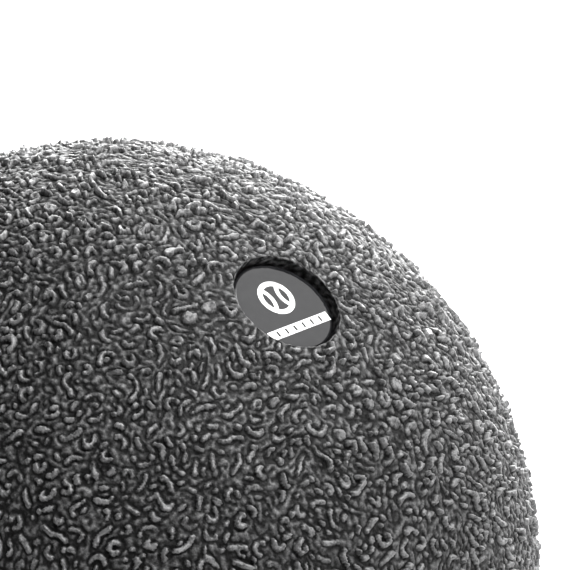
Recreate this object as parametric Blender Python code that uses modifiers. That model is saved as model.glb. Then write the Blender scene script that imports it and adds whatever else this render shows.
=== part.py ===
"""Foam massage ball with a recessed round badge.

Metres, +Z up, origin at the centre of the ball, which rests on a floor at z = -BALL_RADIUS.
Every piece is centred on the badge axis. That axis is modelled along +Z, and the empty
"badge_axis" then leans it from +Z towards -Y, where it points on the resting ball.
"""

import math

import bpy

# Ball: one moulding of closed-cell foam, with a round pocket for the badge.
BALL_RADIUS = 0.060
BADGE_TILT = math.radians(35.0)

# Pocket: straight wall, flat floor and a small rounded rim.
POCKET_RADIUS = 0.0075
POCKET_FLOOR = 0.05575
RIM_ROUND = 0.0003

# Badge: a rigid disc on an adhesive pad, with a thin print on its face.
CLEARANCE = 0.0003
DISC_RADIUS = POCKET_RADIUS - CLEARANCE
DISC_THICKNESS = 0.0015
DISC_EDGE = 0.0005
PAD_THICKNESS = 0.0005
PRINT_THICKNESS = 0.00008

# Print, upper half: a ring crossed by two curved seams.
MARK_CENTRE = (-0.0001, 0.00155)
MARK_RADIUS = 0.0027
MARK_STROKE = 0.00075
SEAM_RADIUS = 0.0027
SEAM_OFFSET = 0.00345
SEAM_STROKE = 0.00062

# Print, lower half: a plain bar with a row of slots.
BAR_CENTRE = (-0.0001, -0.0035)
BAR_LENGTH = 0.0110
BAR_HEIGHT = 0.0014
BAR_SLOTS = 6
SLOT_WIDTH = 0.00034
SLOT_HEIGHT = 0.00085

# Facets.
TURN_STEPS = 72
SPHERE_ROWS = 34
RIM_ROWS = 4
DISC_VERTICES = 64
MERGE_DISTANCE = 0.00001

# Heights along the badge axis, from the centre of the ball.
PAD_BASE = POCKET_FLOOR + CLEARANCE
DISC_BASE = PAD_BASE + PAD_THICKNESS + CLEARANCE
PRINT_BASE = DISC_BASE + DISC_THICKNESS + CLEARANCE


def clear_scene():
    """Remove every object that the file opened with."""
    for old in list(bpy.data.objects):
        bpy.data.objects.remove(old, do_unlink=True)


def make_collection(name):
    """A collection in the scene, named for the object."""
    group = bpy.data.collections.new(name)
    bpy.context.scene.collection.children.link(group)
    return group


def make_material(name, colour, roughness):
    """A Principled material with one plain colour and no metal."""
    material = bpy.data.materials.new(name)
    material.use_nodes = True
    shader = material.node_tree.nodes["Principled BSDF"]
    shader.inputs["Base Color"].default_value = (*colour, 1.0)
    shader.inputs["Roughness"].default_value = roughness
    shader.inputs["Metallic"].default_value = 0.0
    material.diffuse_color = (*colour, 1.0)
    return material


def foam_material():
    """Black moulded foam with a slight sheen."""
    return make_material("foam", (0.022, 0.022, 0.023), 0.42)


def adhesive_material():
    """Pale grey double-sided tape."""
    return make_material("adhesive", (0.55, 0.55, 0.53), 0.7)


def disc_material():
    """Glossy black plastic."""
    return make_material("badge_plastic", (0.012, 0.012, 0.013), 0.08)


def ink_material():
    """Opaque white print."""
    return make_material("ink", (0.86, 0.86, 0.86), 0.35)


def place(piece, group, axis, height):
    """Move a piece to the object's collection and stand it on the badge axis."""
    for old in list(piece.users_collection):
        old.objects.unlink(piece)
    group.objects.link(piece)
    piece.parent = axis
    piece.location = (0.0, 0.0, height)


def arc(centre, radius, start, end, steps):
    """Points along an arc about a centre, with both ends."""
    points = []
    for step in range(steps + 1):
        angle = start + (end - start) * step / steps
        points.append((centre[0] + radius * math.cos(angle), centre[1] + radius * math.sin(angle)))
    return points


def ball_profile():
    """Half outline from the middle of the pocket floor, over the rim, down to the far pole."""
    arc_x = POCKET_RADIUS + RIM_ROUND
    arc_z = math.sqrt((BALL_RADIUS - RIM_ROUND) ** 2 - arc_x**2)
    rim_angle = math.atan2(arc_x, arc_z)
    outline = [(0.0, POCKET_FLOOR), (POCKET_RADIUS, POCKET_FLOOR)]
    outline += arc((arc_x, arc_z), RIM_ROUND, math.pi, math.pi / 2 - rim_angle, RIM_ROWS)
    for row in range(1, SPHERE_ROWS):
        angle = rim_angle + (math.pi - rim_angle) * row / SPHERE_ROWS
        outline.append((BALL_RADIUS * math.sin(angle), BALL_RADIUS * math.cos(angle)))
    outline.append((0.0, -BALL_RADIUS))
    return outline


def make_foam_ball(group, axis):
    """The moulded ball, turned in one piece with its pocket."""
    outline = ball_profile()
    mesh = bpy.data.meshes.new("foam_ball")
    edges = [(i, i + 1) for i in range(len(outline) - 1)]
    mesh.from_pydata([(x, 0.0, z) for x, z in outline], edges, [])
    ball = bpy.data.objects.new("foam_ball", mesh)
    mesh.materials.append(foam_material())
    turn = ball.modifiers.new("Turn", "SCREW")
    turn.axis = "Z"
    turn.angle = 2 * math.pi
    turn.steps = TURN_STEPS
    turn.render_steps = TURN_STEPS
    turn.use_merge_vertices = True
    turn.merge_threshold = MERGE_DISTANCE
    turn.use_smooth_shade = True
    place(ball, group, axis, 0.0)
    return ball


def make_round_plate(name, radius, thickness, edge):
    """A round plate that stands on its origin, with an eased edge if one is given."""
    bpy.ops.mesh.primitive_cylinder_add(
        vertices=DISC_VERTICES, radius=radius, depth=thickness, location=(0, 0, 0)
    )
    plate = bpy.context.object
    plate.name = name
    plate.data.name = name
    for vertex in plate.data.vertices:
        vertex.co.z += thickness / 2
    plate.data.shade_smooth()
    plate.data.set_sharp_from_angle(angle=math.radians(40))
    if edge:
        bevel = plate.modifiers.new("Edge", "BEVEL")
        bevel.width = edge
        bevel.segments = 4
        bevel.limit_method = "ANGLE"
        bevel.angle_limit = math.radians(40)
    return plate


def make_adhesive(group, axis):
    """The pad of tape between the pocket floor and the disc."""
    pad = make_round_plate("badge_adhesive", DISC_RADIUS, PAD_THICKNESS, 0.0)
    pad.data.materials.append(adhesive_material())
    place(pad, group, axis, PAD_BASE)
    return pad


def make_disc(group, axis):
    """The glossy disc, just below the rim of the pocket."""
    disc = make_round_plate("badge_disc", DISC_RADIUS, DISC_THICKNESS, DISC_EDGE)
    disc.data.materials.append(disc_material())
    place(disc, group, axis, DISC_BASE)
    return disc


def make_flat_piece(name, centre, loops, material):
    """A thin flat piece: the first loop is its outline and the others are holes."""
    curve = bpy.data.curves.new(name, "CURVE")
    curve.dimensions = "2D"
    curve.fill_mode = "BOTH"
    curve.extrude = PRINT_THICKNESS / 2
    for loop in loops:
        spline = curve.splines.new("POLY")
        spline.points.add(len(loop) - 1)
        for point, (x, y) in zip(spline.points, loop):
            point.co = (centre[0] + x, centre[1] + y, 0.0, 1.0)
        spline.use_cyclic_u = True
    curve.materials.append(material)
    return bpy.data.objects.new(name, curve)


def crossing(radius, offset, other):
    """Where a circle about the middle meets a circle about (offset, 0), in the upper half."""
    x = (radius**2 - other**2 + offset**2) / (2 * offset)
    return x, math.sqrt(radius**2 - x**2)


def side_hole(side):
    """The gap between the ring and the outer side of one seam."""
    inside = MARK_RADIUS - MARK_STROKE
    seam = SEAM_RADIUS - SEAM_STROKE / 2
    x, y = crossing(inside, SEAM_OFFSET, seam)
    ring_angle = math.atan2(y, x)
    seam_angle = math.atan2(y, SEAM_OFFSET - x)
    loop = arc((0.0, 0.0), inside, -ring_angle, ring_angle, 14)
    loop += arc((SEAM_OFFSET, 0.0), seam, math.pi - seam_angle, math.pi + seam_angle, 10)[1:-1]
    return [(side * x, y) for x, y in loop]


def middle_hole():
    """The gap between the two seams."""
    inside = MARK_RADIUS - MARK_STROKE
    seam = SEAM_RADIUS + SEAM_STROKE / 2
    x, y = crossing(inside, SEAM_OFFSET, seam)
    ring_angle = math.atan2(y, x)
    seam_angle = math.atan2(y, SEAM_OFFSET - x)
    loop = arc((0.0, 0.0), inside, ring_angle, math.pi - ring_angle, 10)
    loop += arc((-SEAM_OFFSET, 0.0), seam, seam_angle, -seam_angle, 12)[1:-1]
    loop += arc((0.0, 0.0), inside, math.pi + ring_angle, 2 * math.pi - ring_angle, 10)
    loop += arc((SEAM_OFFSET, 0.0), seam, math.pi + seam_angle, math.pi - seam_angle, 12)[1:-1]
    return loop


def make_mark(group, axis, material):
    """The round mark in the upper half of the print."""
    ring = arc((0.0, 0.0), MARK_RADIUS, 0.0, 2 * math.pi, DISC_VERTICES)[:-1]
    loops = [ring, side_hole(1), middle_hole(), side_hole(-1)]
    mark = make_flat_piece("badge_mark", MARK_CENTRE, loops, material)
    place(mark, group, axis, PRINT_BASE + PRINT_THICKNESS / 2)
    return mark


def rectangle(middle, width, height):
    """The corners of an upright rectangle whose middle is (middle, 0)."""
    x, y = width / 2, height / 2
    return [(middle - x, -y), (middle + x, -y), (middle + x, y), (middle - x, y)]


def make_bar(group, axis, material):
    """The slotted bar in the lower half of the print."""
    loops = [rectangle(0.0, BAR_LENGTH, BAR_HEIGHT)]
    for slot in range(1, BAR_SLOTS + 1):
        middle = BAR_LENGTH * (slot / (BAR_SLOTS + 1) - 0.5)
        loops.append(rectangle(middle, SLOT_WIDTH, SLOT_HEIGHT))
    bar = make_flat_piece("badge_bar", BAR_CENTRE, loops, material)
    place(bar, group, axis, PRINT_BASE + PRINT_THICKNESS / 2)
    return bar


def main():
    """Build the ball and its badge on the leaning badge axis."""
    clear_scene()
    group = make_collection("massage_ball")
    axis = bpy.data.objects.new("badge_axis", None)
    group.objects.link(axis)
    axis.empty_display_size = BALL_RADIUS * 1.3
    axis.empty_display_type = "SINGLE_ARROW"
    axis.rotation_euler = (BADGE_TILT, 0.0, 0.0)
    make_foam_ball(group, axis)
    make_adhesive(group, axis)
    make_disc(group, axis)
    ink = ink_material()
    make_mark(group, axis, ink)
    make_bar(group, axis, ink)
    bpy.context.view_layer.update()


main()
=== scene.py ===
"""The foam massage ball as it really looks: black moulded foam with a worm-like grain, and a
glossy badge with a white print in a small round pocket.

Sizes are in metres, apart from the lens. The ball's centre, radius and badge axis come from the CAD nodes.
"""

import math

import bmesh
import bpy
import numpy as np
from mathutils import Matrix, Vector
from mathutils.kdtree import KDTree


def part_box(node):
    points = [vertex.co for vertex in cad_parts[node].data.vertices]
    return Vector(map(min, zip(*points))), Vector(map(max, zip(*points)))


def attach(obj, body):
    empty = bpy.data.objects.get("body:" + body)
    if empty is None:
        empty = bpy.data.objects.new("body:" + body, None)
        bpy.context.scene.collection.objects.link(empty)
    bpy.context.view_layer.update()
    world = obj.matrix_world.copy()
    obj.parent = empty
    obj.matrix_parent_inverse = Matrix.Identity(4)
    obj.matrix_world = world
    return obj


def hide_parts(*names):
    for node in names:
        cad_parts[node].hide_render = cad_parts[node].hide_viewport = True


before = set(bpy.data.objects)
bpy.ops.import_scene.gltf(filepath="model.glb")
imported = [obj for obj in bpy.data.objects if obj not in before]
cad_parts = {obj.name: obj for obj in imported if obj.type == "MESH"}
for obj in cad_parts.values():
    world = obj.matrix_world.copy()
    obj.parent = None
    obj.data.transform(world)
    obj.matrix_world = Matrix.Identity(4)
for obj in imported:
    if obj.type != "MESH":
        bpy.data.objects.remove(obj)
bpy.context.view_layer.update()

# Camera: angles in degrees, and its distance and aim as shares of the ball's radius.
CAMERA_AZIMUTH = -43.67
CAMERA_ELEVATION = 24.84
CAMERA_DISTANCE = 8.0
AIM_RIGHT = 0.4265
AIM_UP = 0.6579
LENS_MM = 214.0

# The ball's mesh: the distance between its points, and its rows in the pocket.
SPACING = 0.0002
FLOOR_ROWS = 10
FLOOR_SPACING = 0.0006
WALL_ROWS = 20
WALL_SPACING = 0.00022
RIM_ROWS = 6

# The grain's ridges. Each is a short line with a bend in radians a metre. The bend by itself
# turns a line by at most WORM_TURN radians. WORM_UNBEND then changes the bend along the line,
# in radians a metre for each metre, and WORM_WANDER is the spread of a random turn at each step.
# Short lines may sit closer to their neighbours than long ones.
WORM_TRIES = 130000
WORM_LENGTH = (0.0005, 0.0044)
WORM_STEP = 0.00015
WORM_BEND = (100.0, 1600.0)
WORM_UNBEND = 150000.0
WORM_TURN = 3.6
WORM_WANDER = 0.22
SHORT_WORM = 0.0005
LONG_WORM = 0.002
WORM_GAP = (0.00062, 0.00105)

# How the lines become relief: a ridge along each, a furrow round it, and small lumps between.
# A blur counts passes from neighbour to neighbour. An edge gives the blurred values at which
# the ridge or the furrow starts and is full.
GRAIN_HEIGHT = 0.00048
WORM_BLUR = 5
WORM_EDGE = (0.08, 0.27)
WORM_ROUGHNESS = 0.5
MOAT_BLUR = 14
MOAT_EDGE = (0.0, 0.12)
GROUND = 0.2
LUMPS = {"near": 3, "far": 14, "gain": 1.8, "bias": -0.05, "passes": 2}
LUMP_SHARE = 0.42
LUMP_LOSS = 0.6
SWELL_BLUR = 50
SWELL_SHARE = 0.35
CREASE = 0.65
CREASE_BLUR = 5

# Where the grain is lower: near the pocket's rim, on its wall and along the parting line.
RIM_CALM = 0.0022
RIM_SHARE = 0.7
WALL_SHARE = 0.35
PARTING_WIDTH = 0.0005
PARTING_HEIGHT = 0.00012
PARTING_LOSS = 0.6

# The pocket. PAD_ROOM is the room for the pad behind the disc.
WALL_RADIUS = 0.0075
RIM_ROUND = 0.00022
PAD_ROOM = 0.0011

# The disc. Its face is flat, eases down a little and then rounds over at the edge.
EDGE_ROUND = 0.0005
EASE_WIDTH = 0.0013
EASE_DROP = 0.0001
DISC_POINTS = 240
FLAT_ROWS = 7
FLAT_ROWS_END = 0.0005
EDGE_ROWS = 33
EDGE_ROWS_START = 0.0004

# The print. PRINT_LIFT is how far the middle of the CAD's print is above the disc's face.
INK = 0.00002
PRINT_LIFT = 0.00034
INK_CELL = 0.00025
MARK_CENTRE = (-0.0001, 0.00155)
MARK_RADIUS = 0.0027
MARK_STROKE = 0.00075
SEAM_RADIUS = 0.0027
SEAM_OFFSET = 0.00345
SEAM_STROKE = 0.00062
RING_STEPS = 160
SEAM_STEPS = 40
END_STEPS = 30
BAR_CENTRE = (-0.0001, -0.0035)
BAR_LENGTH = 0.0110
BAR_HEIGHT = 0.0014
BAR_SLOTS = 6
SLOT_WIDTH = 0.00034
SLOT_HEIGHT = 0.00085

SEED = 11

# Studio: world brightness, the backdrop's size and glow, the distances between which the floor
# starts to glow, then each light's direction from the ball (right, up, towards the camera),
# distance, size and brightness.
WORLD = 0.15
BACKDROP_RADIUS = 6.0
BACKDROP_GLOW = 1.2
FLOOR_GLOW = (0.6, 1.8)
SOFTBOXES = (
    ("key", (0.5, 0.8, -0.25), 1.2, 1.8, 2.0),
    ("front", (0.4, 0.75, 0.55), 1.2, 1.1, 8.0),
    ("right", (0.95, 0.2, 0.3), 1.2, 0.9, 0.5),
    ("back", (0.1, 0.5, -0.85), 1.2, 1.4, 11.5),
)


# ---------------------------------------------------------------- places from the CAD


def middle_and_half(node):
    """Centre and half size of a CAD node's box."""
    low, high = (np.array(corner, float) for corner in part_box(node))
    return (low + high) / 2, (high - low) / 2


def badge_frame(centre):
    """The badge axis, and a matrix that stands a piece modelled along +Z on it.

    The pieces lean, so only the middles of their boxes are exact. The print's middle gives the
    height of the disc's face, and the disc's own middle then gives its thickness.
    """
    middle, half = middle_and_half("badge_disc")
    print_middle, _ = middle_and_half("badge_bar")
    axis = Vector((0.0, middle[1] - centre[1], middle[2] - centre[2])).normalized()
    across = Vector((1.0, 0.0, 0.0))
    uphill = axis.cross(across).normalized()
    turn = Matrix((across, uphill, axis)).transposed().to_4x4()
    face = Vector(print_middle - centre).dot(axis) - PRINT_LIFT
    thickness = 2 * (face - Vector(middle - centre).dot(axis))
    return Matrix.Translation(Vector(centre)) @ turn, half[0], thickness, face


# ---------------------------------------------------------------- mesh helpers


def mesh_object(name, points, triangles, smooth=True):
    """An object from arrays of points and triangles."""
    mesh = bpy.data.meshes.new(name)
    mesh.vertices.add(len(points))
    mesh.vertices.foreach_set("co", np.ascontiguousarray(points, np.float32).ravel())
    mesh.loops.add(triangles.size)
    mesh.loops.foreach_set("vertex_index", np.ascontiguousarray(triangles, np.int32).ravel())
    mesh.polygons.add(len(triangles))
    mesh.polygons.foreach_set("loop_start", np.arange(0, triangles.size, 3, dtype=np.int32))
    mesh.polygons.foreach_set("use_smooth", np.full(len(triangles), smooth))
    mesh.update(calc_edges=True)
    mesh.validate()
    piece = bpy.data.objects.new(name, mesh)
    bpy.context.scene.collection.objects.link(piece)
    return piece


def stitch(upper, lower, first_upper, first_lower):
    """Triangles between two rings of points that may differ in number."""
    keys_upper = (np.arange(upper) + 0.5) / upper if upper > 1 else np.zeros(0)
    keys_lower = (np.arange(lower) + 0.5) / lower if lower > 1 else np.zeros(0)
    keys = np.concatenate([keys_upper, keys_lower])
    from_upper = np.concatenate([np.ones(len(keys_upper), bool), np.zeros(len(keys_lower), bool)])
    from_upper = from_upper[np.argsort(keys, kind="stable")]
    i = np.cumsum(from_upper) - from_upper
    j = np.cumsum(~from_upper) - ~from_upper
    a = first_upper + i % upper
    b = first_lower + j % lower
    third = np.where(from_upper, first_upper + (i + 1) % upper, first_lower + (j + 1) % lower)
    return np.stack([a, b, third], axis=1)


def turned(rows):
    """Points, normals and triangles of a turned surface, from rows of
    (distance from the axis, height, normal out, normal up, points)."""
    points, normals, triangles = [], [], []
    first = 0
    starts = []
    for number, (out, up, normal_out, normal_up, count) in enumerate(rows):
        angle = 2 * np.pi * (np.arange(count) + 0.5 * (number % 2)) / count
        cos, sin = np.cos(angle), np.sin(angle)
        points.append(np.stack([out * cos, out * sin, np.full(count, up)], axis=1))
        normals.append(np.stack([normal_out * cos, normal_out * sin, np.full(count, normal_up)], 1))
        starts.append(first)
        first += count
    for k in range(len(rows) - 1):
        triangles.append(stitch(rows[k][4], rows[k + 1][4], starts[k], starts[k + 1]))
    return np.concatenate(points), np.concatenate(normals), np.concatenate(triangles)


def neighbours(triangles, count):
    """Each point's neighbours as one list, with where each point's part of it starts."""
    pairs = np.concatenate([triangles[:, [0, 1]], triangles[:, [1, 2]], triangles[:, [2, 0]]])
    pairs = np.concatenate([pairs, pairs[:, ::-1]]).astype(np.int64)
    keys = np.unique(pairs[:, 0] * count + pairs[:, 1])
    source, target = keys // count, keys % count
    starts = np.searchsorted(source, np.arange(count))
    degree = np.diff(np.append(starts, len(source)))
    return target, starts, degree


def blurred(values, around, times, share=0.5):
    """Values spread to their neighbours a number of times."""
    target, starts, degree = around
    for _ in range(times):
        mean = np.add.reduceat(values[target], starts) / degree
        values = values + share * (mean - values)
    return values


# ---------------------------------------------------------------- foam ball


def ball_rows(radius, floor):
    """Rows from the middle of the pocket floor, up the wall, over the rim, to the far pole,
    and the angle from the badge axis at which the ball's own surface starts."""
    rows = []

    def add(out, up, normal_out, normal_up, spacing):
        count = max(1, round(2 * math.pi * out / spacing)) if out > 1e-9 else 1
        rows.append((out, up, normal_out, normal_up, count))

    arc_out = WALL_RADIUS + RIM_ROUND
    arc_up = math.sqrt((radius - RIM_ROUND) ** 2 - arc_out**2)
    rim_angle = math.atan2(arc_out, arc_up)
    for out in np.linspace(0.0, WALL_RADIUS, FLOOR_ROWS)[:-1]:
        add(out, floor, 0.0, 1.0, FLOOR_SPACING)
    for up in np.linspace(floor, arc_up, WALL_ROWS):
        add(WALL_RADIUS, up, -1.0, 0.0, WALL_SPACING)
    for share in np.linspace(0.0, 1.0, RIM_ROWS)[1:]:
        angle = math.pi - (math.pi / 2 + rim_angle) * share
        out, up = math.cos(angle), math.sin(angle)
        add(arc_out + RIM_ROUND * out, arc_up + RIM_ROUND * up, out, up, SPACING)
    steps = round(radius * (math.pi - rim_angle) / SPACING)
    for step in range(1, steps + 1):
        angle = rim_angle + (math.pi - rim_angle) * step / steps
        near = min(1.0, radius * (angle - rim_angle) / RIM_CALM)
        out = radius * math.sin(angle) if step < steps else 0.0
        # Points lie a fifth closer together at the rim.
        spacing = SPACING * (0.8 + 0.2 * near)
        add(out, radius * math.cos(angle), math.sin(angle), math.cos(angle), spacing)
    return rows, rim_angle, steps


def unit(vectors):
    """Vectors scaled to a length of one."""
    return vectors / np.linalg.norm(vectors, axis=1)[:, None]


def scattered_lines(radius, random):
    """Short bending lines all over the ball, each a row of points on the unit sphere, and how
    many of its points each line uses."""
    point = unit(random.standard_normal((WORM_TRIES, 3)))
    ahead = unit(np.cross(point, random.standard_normal((WORM_TRIES, 3))))
    longest = np.linspace(WORM_LENGTH[1], WORM_LENGTH[0], WORM_TRIES)
    length = longest * random.uniform(0.5, 1.0, WORM_TRIES)
    bend = np.minimum(random.uniform(*WORM_BEND, WORM_TRIES), WORM_TURN / length)
    bend = bend * random.choice((-1.0, 1.0), WORM_TRIES)
    unbend = random.uniform(-1.0, 1.0, WORM_TRIES) * WORM_UNBEND
    lines = []
    for step in range(math.ceil(WORM_LENGTH[1] / WORM_STEP) + 1):
        lines.append(point)
        point = unit(point + WORM_STEP / radius * ahead)
        turn = (bend + unbend * step * WORM_STEP) * WORM_STEP
        turn = turn + WORM_WANDER * random.standard_normal(WORM_TRIES)
        side = np.cross(point, ahead)
        ahead = ahead * np.cos(turn)[:, None] + side * np.sin(turn)[:, None]
        ahead = unit(ahead - (ahead * point).sum(axis=1)[:, None] * point)
    return np.stack(lines, axis=1), np.ceil(length / WORM_STEP).astype(int) + 1


def kept_apart(lines, used, radius):
    """The lines that stay a gap away from every line kept before them, as one list of points.
    Short lines may sit closer than long ones."""
    gaps = np.interp(used * WORM_STEP, (SHORT_WORM, LONG_WORM), WORM_GAP)
    tree = KDTree(int(((used + 1) // 2).sum()))
    for number, count in enumerate(used):
        for point in lines[number, :count:2]:
            tree.insert(point * radius, number)
    tree.balance()
    blocked = np.zeros(len(lines), bool)
    kept = []
    for number, count in enumerate(used):
        if blocked[number]:
            continue
        kept.append(lines[number, :count])
        for point in lines[number, :count:2]:
            for _, other, distance in tree.find_range(point * radius, WORM_GAP[1]):
                blocked[other] |= distance < gaps[other]
    return np.concatenate(kept)


def nearest(directions, rows, rim_angle, steps):
    """Numbers of the ball's points that lie nearest to directions from its centre."""
    counts = np.array([row[4] for row in rows])
    starts = np.cumsum(counts) - counts
    polar = np.arctan2(np.hypot(directions[:, 0], directions[:, 1]), directions[:, 2])
    number = np.rint((polar - rim_angle) / (np.pi - rim_angle) * steps).astype(int)
    inside = (number >= 1) & (number <= steps)
    row = np.clip(len(rows) - 1 - steps + number, 0, len(rows) - 1)
    turned_by = np.arctan2(directions[:, 1], directions[:, 0]) / (2 * np.pi)
    column = np.rint(turned_by * counts[row] - 0.5 * (row % 2)).astype(int) % counts[row]
    return np.unique((starts[row] + column)[inside])


def grain(around, values, near, far, gain, bias, passes):
    """Small lumps, from 0 to 1: noise sharpened against its own wider surroundings."""
    for _ in range(passes):
        close = blurred(values, around, near)
        values = close - blurred(close, around, far)
        values = np.tanh(gain * (values / values.std() * 0.5 + bias))
    return np.clip(0.5 + 0.5 * blurred(values, around, 1, 0.4), 0.0, 1.0)


def ease(value):
    """0 to 1 with soft ends."""
    value = np.clip(value, 0.0, 1.0)
    return value * value * (3 - 2 * value)


def atlas(points, triangles):
    """A flat layout of the ball's six sides, with two rows of three squares."""
    middle = points[triangles].mean(axis=1)
    side = np.argmax(np.abs(middle), axis=1)
    sign = np.sign(middle[np.arange(len(middle)), side])
    cell = side * 2 + (sign > 0)
    corner = points[triangles]
    index = np.arange(len(middle))[:, None]
    order = np.arange(3)[None, :]
    main = np.abs(corner[index, order, side[:, None]])
    u = corner[index, order, ((side + 1) % 3)[:, None]] / main * sign[:, None]
    v = corner[index, order, ((side + 2) % 3)[:, None]] / main
    flat = np.stack([np.arctan(u), np.arctan(v)], axis=2) * 4 / np.pi
    flat = 0.5 + 0.48 * flat
    flat[..., 0] = (flat[..., 0] + (cell % 3)[:, None]) / 3
    flat[..., 1] = (flat[..., 1] + (cell // 3)[:, None]) / 2
    return flat.reshape(-1, 2)


def grain_heights(rows, rim_angle, steps, around, radius, random):
    """Height of the grain at each point, from about 0 in a furrow to about 1 on a crest."""
    lines, used = scattered_lines(radius, random)
    count = len(around[1])
    marked = np.zeros(count)
    marked[nearest(kept_apart(lines, used, radius), rows, rim_angle, steps)] = 1.0
    rough = 1 + WORM_ROUGHNESS * random.standard_normal(count)
    band = blurred(marked * rough, around, WORM_BLUR)
    worms = ease((band - WORM_EDGE[0]) / (WORM_EDGE[1] - WORM_EDGE[0]))
    moat = ease((blurred(marked, around, MOAT_BLUR) - MOAT_EDGE[0]) / (MOAT_EDGE[1] - MOAT_EDGE[0]))
    lumps = grain(around, random.standard_normal(count), **LUMPS)
    swell = blurred(random.standard_normal(count), around, SWELL_BLUR)
    swell = np.clip(swell / swell.std(), -2.0, 2.0)
    ground = GROUND * (1 - moat) + LUMP_SHARE * lumps * (1 - LUMP_LOSS * moat)
    crest = worms * (1 + SWELL_SHARE * swell) + ground * (1 - worms)
    return crest + CREASE * (crest - blurred(crest, around, CREASE_BLUR))


def relief(points, crest, radius, rim_angle, disc_low):
    """How far each point moves out: the grain, lower near the rim, on the wall and along the
    parting line, which stands up a little, and nothing at all behind the disc."""
    polar = np.arctan2(np.hypot(points[:, 0], points[:, 1]), points[:, 2])
    from_rim = radius * (polar - rim_angle)
    on_ball = np.linalg.norm(points, axis=1) > radius - 1e-6
    calm = np.where(on_ball, RIM_SHARE + (1 - RIM_SHARE) * ease(from_rim / RIM_CALM), WALL_SHARE)
    behind = ~on_ball & (points[:, 2] < disc_low)
    calm = np.where(behind, 0.0, calm)
    height = GRAIN_HEIGHT * (crest - 0.5)
    parting = np.exp(-((radius * (polar - math.pi / 2) / PARTING_WIDTH) ** 2))
    height = height * (1 - PARTING_LOSS * parting) + PARTING_HEIGHT * parting
    return height * calm


def make_ball(place, radius, thickness, face, material):
    """The moulded ball with its grain and its pocket."""
    random = np.random.default_rng(SEED)
    rows, rim_angle, steps = ball_rows(radius, face - thickness - PAD_ROOM)
    points, normals, triangles = turned(rows)
    around = neighbours(triangles, len(points))
    crest = grain_heights(rows, rim_angle, steps, around, radius, random)
    points = points + normals * relief(points, crest, radius, rim_angle, face - thickness)[:, None]

    ball = mesh_object("ball", points, triangles)
    # How hollow each point is. The foam material paints shade with it: darker colour in the hollows,
    # lighter on the crests.
    layer = ball.data.attributes.new("hollow", "FLOAT", "POINT")
    layer.data.foreach_set("value", np.clip(1.0 - crest, 0, 1).astype(np.float32))
    flat = ball.data.uv_layers.new(name="OFBake")
    flat.data.foreach_set("uv", atlas(points, triangles).astype(np.float32).ravel())
    ball.data.transform(place)
    ball.data.materials.append(material)
    return ball


# ---------------------------------------------------------------- badge


def edge_drop(out, radius):
    """How far the face has dropped at a distance from the disc's axis: an ease, then a round."""
    ease = max(0.0, out - (radius - EASE_WIDTH)) / EASE_WIDTH
    along = min(max(0.0, out - (radius - EDGE_ROUND)), EDGE_ROUND)
    return EASE_DROP * ease**2 + EDGE_ROUND - math.sqrt(EDGE_ROUND**2 - along**2)


def make_disc(place, radius, low, high, material):
    """The round disc, with its face eased and rounded towards the edge."""
    rows = [(0.0, high - edge_drop(0.0, radius), 0.0, 1.0, 1)]
    flat = radius - EASE_WIDTH
    outs = list(np.linspace(0.0, flat - FLAT_ROWS_END, FLAT_ROWS)[1:])
    outs += list(np.linspace(flat - EDGE_ROWS_START, radius, EDGE_ROWS))
    for out in outs:
        rows.append((out, high - edge_drop(out, radius), 0.0, 1.0, DISC_POINTS))
    rows.append((radius, low, 1.0, 0.0, DISC_POINTS))
    rows.append((0.0, low, 0.0, -1.0, 1))
    points, _, triangles = turned(rows)
    disc = mesh_object("disc", points, triangles)
    disc.data.set_sharp_from_angle(angle=math.radians(35))
    disc.data.materials.append(material)
    disc.data.transform(place)
    return disc


def arc(centre, radius, start, end, steps):
    """Points along an arc about a centre, with both ends."""
    points = []
    for step in range(steps + 1):
        angle = start + (end - start) * step / steps
        points.append((centre[0] + radius * math.cos(angle), centre[1] + radius * math.sin(angle)))
    return points


def crossing(radius, offset, other):
    """Where a circle about the middle meets a circle about (offset, 0), in the upper half."""
    x = (radius**2 - other**2 + offset**2) / (2 * offset)
    return x, math.sqrt(radius**2 - x**2)


def side_hole(side):
    """The gap between the ring and the outer side of one seam."""
    inside = MARK_RADIUS - MARK_STROKE
    seam = SEAM_RADIUS - SEAM_STROKE / 2
    x, y = crossing(inside, SEAM_OFFSET, seam)
    ring_angle = math.atan2(y, x)
    seam_angle = math.atan2(y, SEAM_OFFSET - x)
    loop = arc((0.0, 0.0), inside, -ring_angle, ring_angle, SEAM_STEPS)
    start, end = math.pi - seam_angle, math.pi + seam_angle
    loop += arc((SEAM_OFFSET, 0.0), seam, start, end, SEAM_STEPS)[1:-1]
    return [(side * x, y) for x, y in loop]


def middle_hole():
    """The gap between the two seams."""
    inside = MARK_RADIUS - MARK_STROKE
    seam = SEAM_RADIUS + SEAM_STROKE / 2
    x, y = crossing(inside, SEAM_OFFSET, seam)
    ring_angle = math.atan2(y, x)
    seam_angle = math.atan2(y, SEAM_OFFSET - x)
    loop = arc((0.0, 0.0), inside, ring_angle, math.pi - ring_angle, END_STEPS)
    loop += arc((-SEAM_OFFSET, 0.0), seam, seam_angle, -seam_angle, SEAM_STEPS)[1:-1]
    loop += arc((0.0, 0.0), inside, math.pi + ring_angle, 2 * math.pi - ring_angle, END_STEPS)
    start, end = math.pi + seam_angle, math.pi - seam_angle
    loop += arc((SEAM_OFFSET, 0.0), seam, start, end, SEAM_STEPS)[1:-1]
    return loop


def rectangle(middle, width, height):
    """The corners of an upright rectangle whose middle is (middle, 0)."""
    x, y = width / 2, height / 2
    return [(middle - x, -y), (middle + x, -y), (middle + x, y), (middle - x, y)]


def bar_loops():
    """A plain bar and the slots in it."""
    loops = [rectangle(0.0, BAR_LENGTH, BAR_HEIGHT)]
    for slot in range(1, BAR_SLOTS + 1):
        middle = BAR_LENGTH * (slot / (BAR_SLOTS + 1) - 0.5)
        loops.append(rectangle(middle, SLOT_WIDTH, SLOT_HEIGHT))
    return loops


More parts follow.
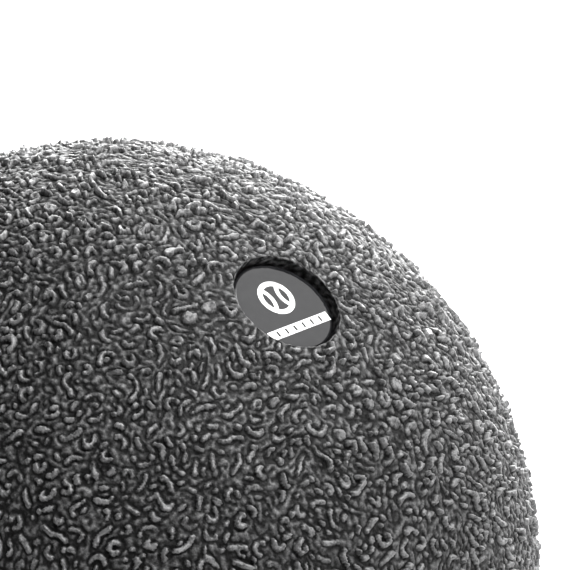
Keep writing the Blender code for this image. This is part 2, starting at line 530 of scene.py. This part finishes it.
def mark_loops():
    """A ring and the gaps that its two seams leave."""
    ring = arc((0.0, 0.0), MARK_RADIUS, 0.0, 2 * math.pi, RING_STEPS)[:-1]
    return [ring, side_hole(1), middle_hole(), side_hole(-1)]


def cut_in_cells(mesh, reach):
    """Cuts a flat mesh along a square grid, so that it can follow a curved face."""
    grid = bmesh.new()
    grid.from_mesh(mesh)
    for normal in ((1.0, 0.0, 0.0), (0.0, 1.0, 0.0)):
        for step in np.arange(-reach, reach, INK_CELL):
            everything = grid.verts[:] + grid.edges[:] + grid.faces[:]
            along = Vector(normal) * step
            bmesh.ops.bisect_plane(grid, geom=everything, plane_co=along, plane_no=normal)
    grid.to_mesh(mesh)
    grid.free()


def ink_piece(name, centre, loops, place, radius, face, material):
    """A thin layer of ink on the disc: the first loop is its outline, the others are holes."""
    curve = bpy.data.curves.new(name, "CURVE")
    curve.dimensions = "2D"
    curve.fill_mode = "BOTH"
    curve.extrude = INK / 2
    for loop in loops:
        spline = curve.splines.new("POLY")
        spline.points.add(len(loop) - 1)
        for point, (x, y) in zip(spline.points, loop):
            point.co = (centre[0] + x, centre[1] + y, 0.0, 1.0)
        spline.use_cyclic_u = True
    layer = bpy.data.objects.new(name + "_outline", curve)
    bpy.context.scene.collection.objects.link(layer)
    graph = bpy.context.evaluated_depsgraph_get()
    mesh = bpy.data.meshes.new_from_object(layer.evaluated_get(graph))
    bpy.data.objects.remove(layer)
    mesh.name = name
    mesh.materials.clear()
    mesh.materials.append(material)
    cut_in_cells(mesh, radius)
    for vertex in mesh.vertices:
        out = math.hypot(vertex.co.x, vertex.co.y)
        vertex.co.z += face + INK - edge_drop(out, radius)
    mesh.transform(place)
    piece = bpy.data.objects.new(name, mesh)
    bpy.context.scene.collection.objects.link(piece)
    return piece


# ---------------------------------------------------------------- materials


class Nodes:
    """Short names for building a material's nodes."""

    def __init__(self, name):
        self.material = bpy.data.materials.new(name)
        self.material.use_nodes = True
        self.tree = self.material.node_tree
        self.shader = self.tree.nodes["Principled BSDF"]

    def add(self, kind, **values):
        """A node, with its properties or its sockets' values."""
        node = self.tree.nodes.new(kind)
        for key, value in values.items():
            if hasattr(node, key):
                setattr(node, key, value)
            else:
                node.inputs[key.replace("_", " ")].default_value = value
        return node

    def link(self, source, target):
        """Joins an output to an input."""
        self.tree.links.new(source, target)

    def noise(self, scale, detail=2.0, roughness=0.5):
        """Noise in the piece's own space, with a scale in features a metre."""
        place = self.add("ShaderNodeTexCoord")
        noise = self.add("ShaderNodeTexNoise", Scale=scale, Detail=detail, Roughness=roughness)
        self.link(place.outputs["Object"], noise.inputs["Vector"])
        return noise.outputs["Fac"]

    def between(self, source, low, high, start=0.0, end=1.0):
        """A value that goes from low to high as source goes from start to end."""
        node = self.add("ShaderNodeMapRange")
        node.inputs["From Min"].default_value = start
        node.inputs["From Max"].default_value = end
        node.inputs["To Min"].default_value = low
        node.inputs["To Max"].default_value = high
        self.link(source, node.inputs["Value"])
        return node.outputs["Result"]

    def times(self, first, second):
        """The product of two values."""
        node = self.add("ShaderNodeMath", operation="MULTIPLY")
        self.link(first, node.inputs[0])
        self.link(second, node.inputs[1])
        return node.outputs[0]

    def mixed(self, source, first, second):
        """A colour that goes from first to second with source."""
        node = self.add("ShaderNodeMix", data_type="RGBA")
        node.inputs["A"].default_value = (*first, 1.0)
        node.inputs["B"].default_value = (*second, 1.0)
        self.link(source, node.inputs["Factor"])
        return node.outputs["Result"]

    def bump(self, source, strength, distance):
        """Fine relief from a value."""
        node = self.add("ShaderNodeBump")
        node.inputs["Strength"].default_value = strength
        node.inputs["Distance"].default_value = distance
        self.link(source, node.inputs["Height"])
        self.link(node.outputs["Normal"], self.shader.inputs["Normal"])


def foam_look():
    """Black foam: ridges glossier than the hollows, with painted shade that darkens the hollows' colour
    and lightens the crests', and fine specks of painted glint in the colour and gloss.
    """
    nodes = Nodes("foam_look")
    hollow = nodes.add("ShaderNodeAttribute", attribute_name="hollow").outputs["Fac"]
    wide = nodes.noise(320.0, 2.0)
    fine = nodes.noise(2000.0, 2.0, 0.7)
    # Painted shade and highlight: the colour is darker in the hollows and lighter on the crests, standing
    # for the shade of the grain, and the fine noise adds painted glints. Only the wide noise is the foam's
    # own tone.
    height = nodes.between(hollow, 1.0, 0.0, 0.0, 0.8)
    shade_and_tone = nodes.times(height, nodes.between(wide, 0.55, 1.45, 0.32, 0.68))
    shade_and_tone = nodes.times(shade_and_tone, nodes.between(fine, 0.5, 1.5, 0.38, 0.62))
    colour = nodes.mixed(shade_and_tone, (0.004, 0.004, 0.004), (0.095, 0.095, 0.096))
    nodes.link(colour, nodes.shader.inputs["Base Color"])
    # The specular level is lower in the hollows, standing for their shade, and the fine noise adds glints
    # to it.
    gloss = nodes.between(hollow, 0.7, 0.14, 0.1, 0.85)
    gloss = nodes.times(gloss, nodes.between(fine, 0.6, 1.4, 0.38, 0.62))
    nodes.link(gloss, nodes.shader.inputs["Specular IOR Level"])
    nodes.link(nodes.between(hollow, 0.38, 0.52, 0.0, 0.7), nodes.shader.inputs["Roughness"])
    nodes.bump(fine, 1.0, 0.00012)
    return nodes.material


def disc_look():
    """Glossy black plastic with the faintest wear."""
    nodes = Nodes("disc_look")
    dust = nodes.noise(900.0, 4.0)
    specks = nodes.between(dust, 0.0, 1.0, 0.4, 0.8)
    colour = nodes.mixed(specks, (0.010, 0.010, 0.011), (0.016, 0.016, 0.017))
    nodes.link(colour, nodes.shader.inputs["Base Color"])
    nodes.link(nodes.between(dust, 0.05, 0.09, 0.35, 0.75), nodes.shader.inputs["Roughness"])
    return nodes.material


def ink_look():
    """Opaque white print."""
    nodes = Nodes("ink_look")
    fine = nodes.noise(6000.0, 2.0)
    specks = nodes.between(fine, 0.0, 1.0, 0.35, 0.65)
    colour = nodes.mixed(specks, (0.80, 0.80, 0.80), (0.88, 0.88, 0.88))
    nodes.link(colour, nodes.shader.inputs["Base Color"])
    nodes.link(nodes.between(fine, 0.25, 0.35, 0.3, 0.7), nodes.shader.inputs["Roughness"])
    return nodes.material


def tape_look():
    """Pale grey tape."""
    nodes = Nodes("tape_look")
    cells = nodes.noise(3500.0, 3.0)
    colour = nodes.mixed(cells, (0.48, 0.48, 0.46), (0.62, 0.62, 0.60))
    nodes.link(colour, nodes.shader.inputs["Base Color"])
    nodes.link(nodes.between(cells, 0.6, 0.8, 0.3, 0.7), nodes.shader.inputs["Roughness"])
    return nodes.material


def floor_look():
    """Plain white, with a glow of its own far away, where the lights don't reach."""
    nodes = Nodes("floor_look")
    cloud = nodes.noise(3.0, 2.0)
    colour = nodes.mixed(cloud, (0.83, 0.83, 0.83), (0.87, 0.87, 0.87))
    nodes.link(colour, nodes.shader.inputs["Base Color"])
    place = nodes.add("ShaderNodeTexCoord")
    away = nodes.add("ShaderNodeVectorMath", operation="LENGTH")
    nodes.link(place.outputs["Object"], away.inputs[0])
    glow = nodes.between(away.outputs["Value"], 0.0, BACKDROP_GLOW, *FLOOR_GLOW)
    nodes.shader.inputs["Emission Color"].default_value = (1.0, 1.0, 1.0, 1.0)
    nodes.link(glow, nodes.shader.inputs["Emission Strength"])
    nodes.shader.inputs["Roughness"].default_value = 0.7
    return nodes.material


def backdrop_look():
    """An evenly lit pale backdrop."""
    nodes = Nodes("backdrop_look")
    glow = nodes.between(nodes.noise(0.3, 1.0), 0.98 * BACKDROP_GLOW, BACKDROP_GLOW, 0.3, 0.7)
    nodes.shader.inputs["Base Color"].default_value = (0.0, 0.0, 0.0, 1.0)
    nodes.shader.inputs["Emission Color"].default_value = (1.0, 1.0, 1.0, 1.0)
    nodes.link(glow, nodes.shader.inputs["Emission Strength"])
    return nodes.material


# ---------------------------------------------------------------- studio


def lowest_point(piece):
    """Height of a piece's lowest point, where it touches the floor."""
    places = np.empty(3 * len(piece.data.vertices), np.float32)
    piece.data.vertices.foreach_get("co", places)
    return float(places[2::3].min())


def make_floor(height):
    """A wide floor under the ball."""
    bpy.ops.mesh.primitive_plane_add(size=2 * BACKDROP_RADIUS, location=(0.0, 0.0, height))
    floor = bpy.context.object
    floor.name = "floor"
    floor.data.materials.append(floor_look())


def make_backdrop():
    """A pale dome far behind everything, which only the camera sees."""
    bpy.ops.mesh.primitive_uv_sphere_add(segments=64, ring_count=32, radius=BACKDROP_RADIUS)
    dome = bpy.context.object
    dome.name = "backdrop"
    dome.data.materials.append(backdrop_look())
    dome.visible_diffuse = False
    dome.visible_glossy = False
    dome.visible_shadow = False


def make_world(strength):
    """Even white light from all round."""
    world = bpy.data.worlds.new("studio")
    world.use_nodes = True
    back = world.node_tree.nodes["Background"]
    back.inputs["Color"].default_value = (1.0, 1.0, 1.0, 1.0)
    back.inputs["Strength"].default_value = strength
    bpy.context.scene.world = world


def make_softbox(name, centre, sides, direction, distance, size, brightness):
    """A square light that faces the ball. Its direction is (right, up, towards the camera)."""
    data = bpy.data.lights.new(name, "AREA")
    data.shape = "SQUARE"
    data.size = size
    data.energy = brightness * math.pi * size * size
    light = bpy.data.objects.new(name, data)
    bpy.context.scene.collection.objects.link(light)
    away = sum((side * share for side, share in zip(sides, direction)), Vector()).normalized()
    light.location = Vector(centre) + away * distance
    light.rotation_euler = away.to_track_quat("Z", "Y").to_euler()
    light.visible_camera = False


def make_camera(centre, radius):
    """A long-lens camera above and to one side, with the badge near the middle of its picture."""
    azimuth, elevation = math.radians(CAMERA_AZIMUTH), math.radians(CAMERA_ELEVATION)
    away = Vector(
        (
            math.sin(azimuth) * math.cos(elevation),
            -math.cos(azimuth) * math.cos(elevation),
            math.sin(elevation),
        )
    )
    right = (-away).cross(Vector((0.0, 0.0, 1.0))).normalized()
    up = right.cross(-away)
    aim = Vector(centre) + radius * (AIM_RIGHT * right + AIM_UP * up)
    data = bpy.data.cameras.new("camera")
    data.sensor_width = 36.0
    data.lens = LENS_MM
    data.clip_start = 0.01
    data.clip_end = 30.0
    camera = bpy.data.objects.new("camera", data)
    bpy.context.scene.collection.objects.link(camera)
    camera.location = Vector(centre) + away * radius * CAMERA_DISTANCE
    camera.rotation_euler = (camera.location - aim).to_track_quat("Z", "Y").to_euler()
    bpy.context.scene.camera = camera
    return right, up, away


# ---------------------------------------------------------------- the scene


def main():
    """Builds the pieces over the CAD frame, then the studio."""
    centre, half = middle_and_half("foam_ball")
    radius = float(half.mean())
    place, disc_radius, thickness, face = badge_frame(centre)

    ball = make_ball(place, radius, thickness, face, foam_look())
    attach(ball, "root")
    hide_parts("foam_ball")

    disc = make_disc(place, disc_radius, face - thickness, face, disc_look())
    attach(disc, "root")
    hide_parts("badge_disc")

    ink = ink_look()
    prints = (
        ("mark", "badge_mark", MARK_CENTRE, mark_loops()),
        ("bar", "badge_bar", BAR_CENTRE, bar_loops()),
    )
    for name, node, middle, outline in prints:
        piece = ink_piece(name, middle, outline, place, disc_radius, face, ink)
        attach(piece, "root")
        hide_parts(node)

    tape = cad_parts["badge_adhesive"]
    tape.data.materials.clear()
    tape.data.materials.append(tape_look())

    make_floor(lowest_point(ball))
    make_backdrop()
    make_world(WORLD)
    sides = make_camera(centre, radius)
    for name, direction, distance, size, brightness in SOFTBOXES:
        make_softbox(name, centre, sides, direction, distance, size, brightness)
    bpy.context.scene.view_settings.view_transform = "Standard"

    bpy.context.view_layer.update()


main()
